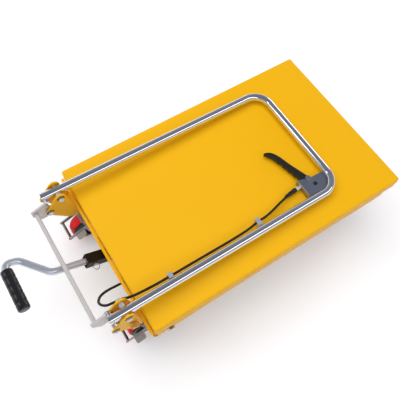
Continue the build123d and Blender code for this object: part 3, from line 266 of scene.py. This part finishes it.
YELLOW = (0.905, 0.47, 0.003)
YELLOW_RUBBED = (0.86, 0.50, 0.06)
BLACK = (0.012, 0.011, 0.010)
BLACK_SATIN = (0.013, 0.009, 0.005)
BLACK_RUBBED = (0.05, 0.05, 0.05)
finishes = {
    "yellow": powder_coat("yellow powder coat", YELLOW, YELLOW_RUBBED, roughness=0.42),
    "rail_paint": powder_coat("yellow rail coat", YELLOW, YELLOW_RUBBED, roughness=0.46),
    "leg_paint": powder_coat("black leg coat", BLACK, BLACK_RUBBED, roughness=0.42),
    "black_paint": powder_coat("black satin paint", BLACK_SATIN, BLACK_RUBBED, roughness=0.40),
    "zinc": plated_steel(
        "zinc plate", (0.68, 0.69, 0.71), (0.52, 0.53, 0.56), roughness=0.30, drift=0.16, metallic=0.7
    ),
    "steel": plated_steel(
        "turned steel", (0.56, 0.56, 0.57), (0.44, 0.44, 0.46), roughness=0.26, drift=0.12
    ),
    "chrome": plated_steel(
        "polished chrome", (0.80, 0.81, 0.84), (0.72, 0.73, 0.77), roughness=0.07, drift=0.04
    ),
    "spring": plated_steel(
        "yellow spring steel", (0.78, 0.52, 0.16), (0.62, 0.40, 0.12), roughness=0.30, drift=0.10
    ),
    "grey_plate": plated_steel(
        "grey plated sheet", (0.36, 0.39, 0.46), (0.29, 0.32, 0.38), roughness=0.40, drift=0.12
    ),
    "black_plastic": moulded(
        "black moulded lever", (0.011, 0.009, 0.009), roughness=0.38, grain=700.0, strength=0.06
    ),
    "core": moulded(
        "black wheel core", (0.012, 0.011, 0.011), roughness=0.42, grain=500.0, strength=0.10
    ),
    "cable": moulded(
        "black cable sheath", (0.009, 0.008, 0.007), roughness=0.36, grain=900.0, strength=0.05
    ),
    "grip": moulded(
        "black rubber grip", (0.010, 0.010, 0.012), roughness=0.24, grain=800.0, strength=0.08
    ),
    "tread": moulded(
        "red tread", (0.86, 0.013, 0.015), roughness=0.46, grain=600.0, strength=0.08, specular=0.25
    ),
    "satin zinc": plated_steel(
        "satin zinc bar", (0.62, 0.59, 0.57), (0.52, 0.50, 0.48), roughness=0.42, drift=0.08, metallic=0.3
    ),
    "caster zinc": plated_steel(
        "dull caster zinc", (0.40, 0.37, 0.33), (0.28, 0.26, 0.23), roughness=0.46, drift=0.14, metallic=0.5
    ),
    "rod zinc": plated_steel(
        "bright zinc rod", (0.62, 0.66, 0.72), (0.52, 0.56, 0.62), roughness=0.30, drift=0.08, metallic=0.75
    ),
}
finish_of_node = {
    "latch_bar": "satin zinc", "latch_arms": "satin zinc", "pedal_rod": "rod zinc", "lever_bolt": "steel",
    "caster_plates": "caster zinc",
}
for side in SIDES:
    for fitting in ("brake_pedal", "swivel_fork", "front_fork"):
        finish_of_node[f"{fitting}_{side}"] = "caster zinc"


# Modelling helpers
ORIGIN = Vector((0, 0, 0))
ACROSS = (0, 1, 0)
BACK_ACROSS = (0, -1, 0)
QUARTER_TURN = math.radians(90)
SMOOTH_ANGLE = math.radians(38.0)
FLAT_ANGLE = math.radians(0.6)
SHARP_ANGLE = math.radians(40.0)
MERGE_GAP = 0.00001
EDGE_SEGMENTS = 2


def select_only(piece):
    """Makes one piece the only selected and the active one."""
    bpy.ops.object.select_all(action="DESELECT")
    piece.select_set(True)
    bpy.context.view_layer.objects.active = piece


def settle(piece):
    """Puts a piece's place, turn and scale into its mesh."""
    select_only(piece)
    bpy.ops.object.transform_apply(location=True, rotation=True, scale=True)


def finish_piece(piece, name, body, slot, finish=None):
    """Names, shades and finishes a piece, and lets it ride on its body, if it has one."""
    piece.name = name
    piece.data.name = name
    piece.data.materials.clear()
    piece.data.materials.append(finishes[finish or slot])
    select_only(piece)
    bpy.ops.object.shade_smooth_by_angle(angle=SMOOTH_ANGLE)
    if body:
        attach(piece, body)
    return piece


def apply_modifiers(piece):
    """Applies every modifier of a piece, in order."""
    select_only(piece)
    for name in [modifier.name for modifier in piece.modifiers]:
        bpy.ops.object.modifier_apply(modifier=name)


def softened(node, edge_mm):
    """A copy of a rigid CAD piece with its corners merged and its sharp edges rounded off."""
    source = nodes[node]
    piece = source.copy()
    piece.data = source.data.copy()
    piece.parent = None
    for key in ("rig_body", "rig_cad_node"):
        del piece[key]
    scene.collection.objects.link(piece)
    select_only(piece)
    bpy.ops.object.mode_set(mode="EDIT")
    bpy.ops.mesh.select_all(action="SELECT")
    bpy.ops.mesh.remove_doubles(threshold=MERGE_GAP)
    bpy.ops.mesh.dissolve_limited(angle_limit=FLAT_ANGLE, delimit=set())
    bpy.ops.object.mode_set(mode="OBJECT")
    rounding = piece.modifiers.new("rounded edges", "BEVEL")
    rounding.width = edge_mm * MM
    rounding.segments = EDGE_SEGMENTS
    rounding.limit_method = "ANGLE"
    rounding.angle_limit = SHARP_ANGLE
    rounding.use_clamp_overlap = True
    rounding.miter_outer = "MITER_ARC"
    flats = piece.modifiers.new("flat faces stay flat", "WEIGHTED_NORMAL")
    flats.keep_sharp = True
    flats.weight = 100
    finish_piece(
        piece, f"{node}_dressed", body_of_node[node], slot_of_node[node], finish_of_node.get(node)
    )
    apply_modifiers(piece)
    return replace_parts(piece, node)


def lathe(rings, place, axis, segments, hollow=False):
    """A round piece built ring by ring: (distance along the axis, radius) in millimetres.

    A hollow one has an open middle: its last ring meets its first.
    """
    first_at, first_r = rings[0]
    bpy.ops.object.select_all(action="DESELECT")
    bpy.ops.mesh.primitive_circle_add(
        vertices=segments, radius=first_r * MM, fill_type="NOTHING" if hollow else "NGON"
    )
    piece = bpy.context.object
    bpy.ops.object.mode_set(mode="EDIT")
    bpy.ops.mesh.select_all(action="SELECT")
    bpy.ops.transform.translate(value=(0, 0, first_at * MM))
    for (before_at, before_r), (at, radius) in zip(rings, rings[1:]):
        bpy.ops.mesh.extrude_region_move(
            TRANSFORM_OT_translate={"value": (0, 0, (at - before_at) * MM)}
        )
        grow = radius / before_r
        bpy.ops.transform.resize(value=(grow, grow, 1), center_override=(0, 0, at * MM))
    bpy.ops.mesh.select_all(action="SELECT")
    if hollow:
        bpy.ops.mesh.remove_doubles(threshold=MERGE_GAP)
    bpy.ops.mesh.normals_make_consistent(inside=False)
    bpy.ops.object.mode_set(mode="OBJECT")
    piece.rotation_mode = "QUATERNION"
    piece.rotation_quaternion = Vector(axis).to_track_quat("Z", "Y")
    piece.location = place
    settle(piece)
    return piece


def copied_to(master, place, half_turn=False):
    """A copy of a piece with a mesh of its own, put at a place and, if asked, turned to face back."""
    piece = master.copy()
    piece.data = master.data.copy()
    scene.collection.objects.link(piece)
    piece.location = place
    if half_turn:
        piece.rotation_mode = "XYZ"
        piece.rotation_euler = (0, 0, math.pi)
    settle(piece)
    return piece


def paint_faces(piece, finish, chosen):
    """Gives the faces whose middle is chosen a finish of their own."""
    piece.data.materials.append(finishes[finish])
    for face in piece.data.polygons:
        if chosen(face.center):
            face.material_index = len(piece.data.materials) - 1


# Sheet metal, legs and fittings keep their CAD shapes, with edges rounded by so many millimetres
edge_of_slot = {
    "yellow": 0.5, "rail_paint": 0.5, "leg_paint": 0.8, "zinc": 0.5, "steel": 0.6, "chrome": 0.4,
    "grey_plate": 0.5, "black_paint": 1.2, "black_plastic": 2.2,
}
edge_of_node = {"corner_plate": 1.3}
remade = {
    "cable_handle_run", "cable_loop", "cable_leg_run", "latch_spring", "pedal_grip", "pull_pin",
    "cable_boot",
}
dressed = {}
for node in sorted(nodes):
    if node not in remade and "wheel_core" not in node and "tread" not in node:
        dressed[node] = softened(node, edge_of_node.get(node, edge_of_slot[slot_of_node[node]]))

# Painted shade: the brake frames' rear bars are painted black, which stands in for the shade they sit in
BRAKE_BAR_REACH = 0.0095
for side in SIDES:
    bar_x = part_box(f"brake_pedal_{side}")[0].x + BRAKE_BAR_REACH
    paint_faces(dressed[f"brake_pedal_{side}"], "black_paint", lambda middle: middle.x < bar_x)

# Painted highlight: the corner plate's folded edge gets bright satin zinc, which stands in for the line of
# light along its bend
FOLD_DEPTH = 0.003
FOLD_HEIGHT = 0.004
plate_low, plate_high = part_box("corner_plate")
paint_faces(
    dressed["corner_plate"], "satin zinc",
    lambda middle: middle.x < plate_low.x + FOLD_DEPTH and middle.z > plate_high.z - FOLD_HEIGHT,
)

# Black washers on the brackets' inner and outer faces, at the handle's and the latch's pivots:
# painted shade, standing in for the shade that the bolt heads cast round them
handle_x, _, handle_z = joint_place["handle_fold"]
latch_x, _, latch_z = joint_place["latch"]
pivots = {"handle": (handle_x, handle_z), "latch": (latch_x, latch_z)}
cheek_faces = {"inner": (138.0, -1), "outer": (179.0, 1)}
shade_washer_rings = [(0.0, 8.8), (0.6, 8.8), (0.9, 8.3)]
shade_washer_master = lathe(shade_washer_rings, ORIGIN, ACROSS, segments=40)
for pivot, (pivot_x, pivot_z) in pivots.items():
    for side, towards in zip(SIDES, (1, -1)):
        for face, (face_y, outward) in cheek_faces.items():
            spot = Vector((pivot_x, towards * face_y * MM, pivot_z))
            shade_washer = copied_to(shade_washer_master, spot, half_turn=towards * outward < 0)
            finish_piece(shade_washer, f"{pivot}_washer_{side}_{face}", "platform", "black_plastic")
bpy.data.objects.remove(shade_washer_master)

# Wheels: a round-shouldered tread between the core's black flanges, modelled once and copied
tread_half = [(12.5, 40.2), (12.5, 46.6), (12.0, 48.0), (10.6, 49.1), (8.4, 49.7), (5.5, 50.0)]
core_half = [
    (17.0, 5.2), (17.0, 12.6), (16.4, 13.6), (7.0, 14.6), (6.0, 16.0), (6.0, 31.5), (7.2, 33.4),
    (15.2, 35.0), (16.0, 36.0), (16.0, 44.6), (15.2, 45.8), (12.9, 46.2), (12.9, 40.0),
]


def both_halves(half):
    """The rings of a profile that is the same on both sides of its middle, from the far side on."""
    return [(-at, radius) for at, radius in half] + half[::-1]


tread_rings = both_halves(tread_half)
tread_rings.append(tread_rings[0])
core_rings = both_halves(core_half)
tread_master = lathe(tread_rings, ORIGIN, ACROSS, segments=72, hollow=True)
core_master = lathe(core_rings, ORIGIN, ACROSS, segments=60)
for place in ("rear", "front"):
    for side in SIDES:
        body = f"{place}_wheel_{side}"
        hub = Vector(joint_place[body])
        tread = finish_piece(copied_to(tread_master, hub), f"{body}_round_tread", body, "tread")
        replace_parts(tread, f"{place}_tread_{side}")
        core = finish_piece(copied_to(core_master, hub), f"{body}_flanged_core", body, "core")
        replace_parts(core, f"{place}_wheel_core_{side}")
bpy.data.objects.remove(tread_master)
bpy.data.objects.remove(core_master)

# Pedal grip: a rubber sleeve with four finger grooves and a rounded end
grip_low, grip_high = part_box("pedal_grip")
GRIP_R = (grip_high.z - grip_low.z) / 2 / MM
GRIP_L = (grip_high.y - grip_low.y) / MM
ROD_R = 8.2
ROD_GAP = 0.1
GROOVES = 4
groove_pitch = GRIP_L / (GROOVES + 1)
mouth_profile = ((0.0, 1.6), (0.8, 0.6), (2.4, 0.0))
groove_profile = (
    (-1.2, 0.0), (-0.5, 0.15), (0.0, 0.6), (0.3, 1.7), (2.1, 1.7), (2.4, 0.6), (2.9, 0.15), (3.6, 0.0),
)
end_profile = ((4.5, 0.0), (2.0, 0.8), (0.6, 2.4), (0.0, 4.6))
grip_rings = [(0.0, ROD_R + ROD_GAP)]
grip_rings += [(along, GRIP_R - depth) for along, depth in mouth_profile]
for groove in range(1, GROOVES + 1):
    start = groove * groove_pitch
    grip_rings += [(start + along, GRIP_R - depth) for along, depth in groove_profile]
grip_rings += [(GRIP_L - from_end, GRIP_R - depth) for from_end, depth in end_profile]
grip_mouth = Vector(((grip_low.x + grip_high.x) / 2, grip_high.y, (grip_low.z + grip_high.z) / 2))
grip = lathe(grip_rings, grip_mouth, BACK_ACROSS, segments=56)
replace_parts(finish_piece(grip, "grooved_pedal_grip", "pedal", "grip"), "pedal_grip")

# Pull pin: a round pin with a ring that hangs outwards from its end
pin_low, pin_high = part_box("pull_pin")
PULL_PIN_R = 3.5
ring_r = (pin_high.x - pin_low.x) / 2
pin_axis = Vector(((pin_low.x + pin_high.x) / 2, 0, pin_high.z - PULL_PIN_R * MM))
pin_l = (pin_high.y - pin_low.y) / MM
pin_rings = [(0, 1.0), (0, 3.0), (0.5, PULL_PIN_R), (pin_l - 1.0, PULL_PIN_R), (pin_l, 2.4)]
pin = lathe(pin_rings, Vector((pin_axis.x, pin_low.y, pin_axis.z)), ACROSS, segments=28)
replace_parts(finish_piece(pin, "pull_pin_shank", "pedal", "zinc"), "pull_pin")
RING_SWING = math.radians(55.0)
RING_WIRE_R = 1.2
RING_HOLE_IN = 1.4
ring_hang = pin_axis.z - pin_low.z - ring_r
ring_y = pin_low.y + RING_HOLE_IN * MM - ring_hang * math.sin(RING_SWING)
ring_z = pin_axis.z - ring_hang * math.cos(RING_SWING)
bpy.ops.object.select_all(action="DESELECT")
bpy.ops.mesh.primitive_torus_add(
    major_radius=ring_r - RING_WIRE_R * MM, minor_radius=RING_WIRE_R * MM,
    major_segments=40, minor_segments=12,
    location=(pin_axis.x, ring_y, ring_z), rotation=(QUARTER_TURN - RING_SWING, 0, 0),
)
ring = bpy.context.object
settle(ring)
finish_piece(ring, "pull_pin_ring", "pedal", "zinc", "steel")

# Latch spring: an open coil of round wire
spring_low, spring_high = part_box("latch_spring")
spring_mid = (spring_low + spring_high) / 2
SPRING_SLOPE = math.radians(-34.0)
SPRING_L = 20.0
COIL_R = 6.0
COILS = 5
COIL_STEPS = 20
WIRE_R = 1.0
WIRE_SIDES = 10
spring_axis = Vector((math.cos(SPRING_SLOPE), 0, math.sin(SPRING_SLOPE)))
bpy.ops.object.select_all(action="DESELECT")
bpy.ops.mesh.primitive_circle_add(
    vertices=WIRE_SIDES, radius=WIRE_R * MM, location=(COIL_R * MM, 0, 0), rotation=(QUARTER_TURN, 0, 0)
)
coil = bpy.context.object
settle(coil)
winding = coil.modifiers.new("winding", "SCREW")
winding.axis = "Z"
winding.angle = math.radians(360)
winding.iterations = COILS
winding.screw_offset = SPRING_L * MM / COILS
winding.steps = COIL_STEPS
winding.render_steps = COIL_STEPS
winding.use_normal_calculate = True
apply_modifiers(coil)
coil.rotation_mode = "QUATERNION"
coil.rotation_quaternion = spring_axis.to_track_quat("Z", "Y")
coil.location = spring_mid - spring_axis * SPRING_L * MM / 2
settle(coil)
bpy.ops.object.mode_set(mode="EDIT")
bpy.ops.mesh.select_all(action="SELECT")
bpy.ops.mesh.fill_holes(sides=0)
bpy.ops.mesh.select_all(action="SELECT")
bpy.ops.mesh.normals_make_consistent(inside=False)
bpy.ops.object.mode_set(mode="OBJECT")
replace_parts(finish_piece(coil, "latch_coil_spring", "platform", "spring"), "latch_spring")

# The handle's plane slopes from its pivot down to its crossbar, by their heights above the deck
HANDLE_PIVOT_RISE = 35.5
CROSSBAR_RISE = 15.0
HANDLE_REACH = 580.0
handle_pivot = Vector((handle_x, 0, handle_z))
handle_slope = math.asin((HANDLE_PIVOT_RISE - CROSSBAR_RISE) / HANDLE_REACH)
along_handle = Vector((math.cos(handle_slope), 0, -math.sin(handle_slope)))
above_handle = Vector((math.sin(handle_slope), 0, math.cos(handle_slope)))


def on_handle(u_mm, y_mm, v_mm):
    """A point by the handle's plane, in mm: u from the pivot to the crossbar, v above the plane."""
    return handle_pivot + along_handle * u_mm * MM + Vector((0, y_mm * MM, 0)) + above_handle * v_mm * MM


# Painted shade: a black eyelet over the corner plate's hole stands in for the dark inside the hole, with a
# dark ring round it
shade_eyelet_rings = [(0.0, 5.2), (0.5, 5.2), (0.9, 4.6), (0.9, 3.2), (0.2, 2.2)]
shade_eyelet = lathe(shade_eyelet_rings, on_handle(532.7, -129.4, 1.4), above_handle, segments=32)
finish_piece(shade_eyelet, "corner_plate_eyelet", "handle", "black_plastic")

# Cable boot: a tapered rubber sleeve with three rings, leaning towards the first clip
BOOT_DROP = 8.0
BOOT_L = 34.0
boot_mouth = on_handle(485.5, -116.0, -BOOT_DROP)
boot_tip = on_handle(451.5, -120.0, -BOOT_DROP)
boot_rings = [(0.0, 3.1), (0.0, 5.4), (0.8, 5.9), (8.0, 5.6)]
for ring_at in (9.0, 13.0, 17.0):
    boot_rings += [(ring_at, 4.7), (ring_at + 1.2, 4.7), (ring_at + 1.8, 5.3), (ring_at + 3.2, 5.2)]
boot_rings += [(21.5, 4.8), (BOOT_L - 1.0, 3.9), (BOOT_L, 3.5), (BOOT_L, 3.1)]
boot = lathe(boot_rings, boot_mouth, boot_tip - boot_mouth, segments=32)
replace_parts(finish_piece(boot, "tapered_cable_boot", "handle", "grip"), "cable_boot")

# Cable: one smooth sheath in three lengths, which meet by the handle's and the legs' pivots; only the
# length on the handle rides on it
CABLE_R = 3.0
VALVE_LEAD = 28.0
last_on_handle = on_handle(74.0, -146.0, 0.0)
first_on_deck = from_deck(-7.8, -136.5, 14.0)
handle_end = (last_on_handle + first_on_deck) / 2
deck_end = from_deck(-16.0, -77.5, -57.0)
leg_start = from_deck(26.0, -79.0, -58.0)
loop_end = (deck_end + leg_start) / 2
valve_low, valve_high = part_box("lowering_valve")
valve_mouth = Vector((valve_low.x, (valve_low.y + valve_high.y) / 2, (valve_low.z + valve_high.z) / 2))
cable_runs = {
    "handle": [
        boot_mouth, on_handle(446.0, -121.0, -BOOT_DROP),
        on_handle(388.0, -137.0, -6.0), on_handle(354.0, -139.0, -2.5), on_handle(314.0, -146.0, -1.0),
        on_handle(178.0, -146.0, 0.5), on_handle(118.0, -146.0, -0.5), last_on_handle, handle_end,
    ],
    "loop": [
        handle_end, first_on_deck, from_deck(-24.3, -130.5, 17.0), from_deck(-45.1, -128.0, 15.0),
        from_deck(-62.0, -124.0, 10.0), from_deck(-72.0, -108.0, -2.0), from_deck(-63.0, -91.0, -18.0),
        from_deck(-42.0, -81.0, -38.0), deck_end, loop_end,
    ],
    "leg": [
        loop_end, leg_start, from_deck(50.0, -95.9, -47.0), from_deck(70.0, -120.2, -36.0),
        from_deck(98.0, -142.8, -31.0), from_deck(140.0, -159.7, -31.5), from_deck(190.0, -159.2, -34.0),
        from_deck(226.0, -144.4, -39.0), valve_mouth - Vector((VALVE_LEAD * MM, 0, 0)), valve_mouth,
    ],
}


def cable_run(name, route):
    """A round sheath with closed ends, on a smooth curve that the points of its route lead."""
    line = bpy.data.curves.new(name, "CURVE")
    line.dimensions = "3D"
    line.bevel_depth = CABLE_R * MM
    line.bevel_resolution = 5
    line.use_fill_caps = True
    line.resolution_u = 10
    spline = line.splines.new("NURBS")
    spline.points.add(len(route) - 1)
    for point, spot in zip(spline.points, route):
        point.co = (*spot, 1.0)
    spline.order_u = 3
    spline.use_endpoint_u = True
    piece = bpy.data.objects.new(name, line)
    scene.collection.objects.link(piece)
    select_only(piece)
    bpy.ops.object.convert(target="MESH")
    return bpy.context.object


handle_run = cable_run("cable_on_handle", cable_runs["handle"])
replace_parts(finish_piece(handle_run, "cable_on_handle", "handle", "cable"), "cable_handle_run")
loop_run = cable_run("cable_round_pivot", cable_runs["loop"])
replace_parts(finish_piece(loop_run, "cable_round_pivot", None, "cable"), "cable_loop")
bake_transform(loop_run)
leg_run = cable_run("cable_on_leg", cable_runs["leg"])
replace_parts(finish_piece(leg_run, "cable_on_leg", None, "cable"), "cable_leg_run")
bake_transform(leg_run)

# Camera at the photograph's place
LENS_PX = 475.0
FRAME_PX = 400.0
SENSOR_MM = 36.0
CAMERA_PLACE = from_deck(-54.4, -407.7, 1013.2)
camera_data = bpy.data.cameras.new("photo camera")
camera_data.sensor_width = SENSOR_MM
camera_data.lens = LENS_PX / FRAME_PX * SENSOR_MM
camera = bpy.data.objects.new("photo camera", camera_data)
scene.collection.objects.link(camera)
look = Vector((0.26615, 0.34802, -0.89891)).normalized()
up = Vector((0.47025, 0.76717, 0.43625)).normalized()
right = look.cross(up).normalized()
turn = Matrix((right, right.cross(look), -look)).transposed()
camera.matrix_world = Matrix.Translation(CAMERA_PLACE) @ turn.to_4x4()
scene.camera = camera

# Floor: pale, with a lift where it is seen, so that it reads as white and keeps the shadow
FLOOR_LIFT = 0.22
FLOOR_SIZE = 14.0
FLOOR_DROP = 0.0005


def pale_floor_material():
    """A matt pale floor that is a little brighter to the eye and in reflections."""
    material, tree, shader = new_material("pale floor", (0.93, 0.93, 0.93), roughness=0.9)
    path = tree.nodes.new("ShaderNodeLightPath")
    mirrored = tree.nodes.new("ShaderNodeMath")
    mirrored.operation = "MAXIMUM"
    seen = tree.nodes.new("ShaderNodeMath")
    seen.operation = "MAXIMUM"
    lift = tree.nodes.new("ShaderNodeMath")
    lift.operation = "MULTIPLY"
    lift.inputs[1].default_value = FLOOR_LIFT
    glow = tree.nodes.new("ShaderNodeEmission")
    added = tree.nodes.new("ShaderNodeAddShader")
    link = tree.links.new
    link(path.outputs["Is Glossy Ray"], mirrored.inputs[0])
    link(path.outputs["Is Transmission Ray"], mirrored.inputs[1])
    link(path.outputs["Is Camera Ray"], seen.inputs[0])
    link(mirrored.outputs[0], seen.inputs[1])
    link(seen.outputs[0], lift.inputs[0])
    link(lift.outputs[0], glow.inputs["Strength"])
    link(shader.outputs["BSDF"], added.inputs[0])
    link(glow.outputs["Emission"], added.inputs[1])
    link(added.outputs["Shader"], tree.nodes["Material Output"].inputs["Surface"])
    return material


bpy.ops.object.select_all(action="DESELECT")
bpy.ops.mesh.primitive_plane_add(size=FLOOR_SIZE, location=(0, 0, -FLOOR_DROP))
floor = bpy.context.object
floor.name = "pale_floor"
floor.data.materials.append(pale_floor_material())

# Studio room: pale at the horizon, then dark, then grey overhead, which round metal shows as bands
LAMP_AIM = Vector((0, 0, 0.2))
ROOM_GRADES = (
    (0.00, (0.90, 0.90, 0.90)), (0.23, (0.90, 0.90, 0.90)), (0.27, (0.03, 0.03, 0.04)),
    (0.45, (0.30, 0.31, 0.36)), (0.95, (0.17, 0.18, 0.22)),
)


def studio_world():
    """A world graded by height above the horizon."""
    world = bpy.data.worlds.new("graded studio")
    world.use_nodes = True
    tree = world.node_tree
    coords = tree.nodes.new("ShaderNodeTexCoord")
    split = tree.nodes.new("ShaderNodeSeparateXYZ")
    grade = tree.nodes.new("ShaderNodeValToRGB")
    stops = grade.color_ramp.elements
    while len(stops) < len(ROOM_GRADES):
        stops.new(1.0)
    for stop, (height, color) in zip(stops, ROOM_GRADES):
        stop.position = height
        stop.color = (*color, 1.0)
    tree.links.new(coords.outputs["Generated"], split.inputs["Vector"])
    tree.links.new(split.outputs["Z"], grade.inputs["Fac"])
    tree.links.new(grade.outputs["Color"], tree.nodes["Background"].inputs["Color"])
    return world


scene.world = studio_world()


def soft_lamp(name, place, size, energy, mirrored=True):
    """An oblong lamp aimed at the deck; mirrored says whether bright metal shows it."""
    data = bpy.data.lights.new(name, "AREA")
    data.shape = "RECTANGLE"
    data.size, data.size_y = size
    data.energy = energy
    lamp = bpy.data.objects.new(name, data)
    scene.collection.objects.link(lamp)
    lamp.location = place
    lamp.rotation_mode = "QUATERNION"
    lamp.rotation_quaternion = (LAMP_AIM - Vector(place)).to_track_quat("-Z", "Y")
    lamp.visible_glossy = mirrored


soft_lamp("overhead lamp", place=(-0.3, 0.6, 2.6), size=(2.8, 2.8), energy=54.0, mirrored=False)
soft_lamp("near strip", place=(0.55, -1.35, 1.75), size=(3.4, 0.5), energy=11.0)
soft_lamp("far lamp", place=(2.1, 0.8, 0.9), size=(0.9, 0.9), energy=4.0)
soft_lamp("rear lamp", place=(-1.6, 0.9, 1.7), size=(0.5, 0.9), energy=3.5)
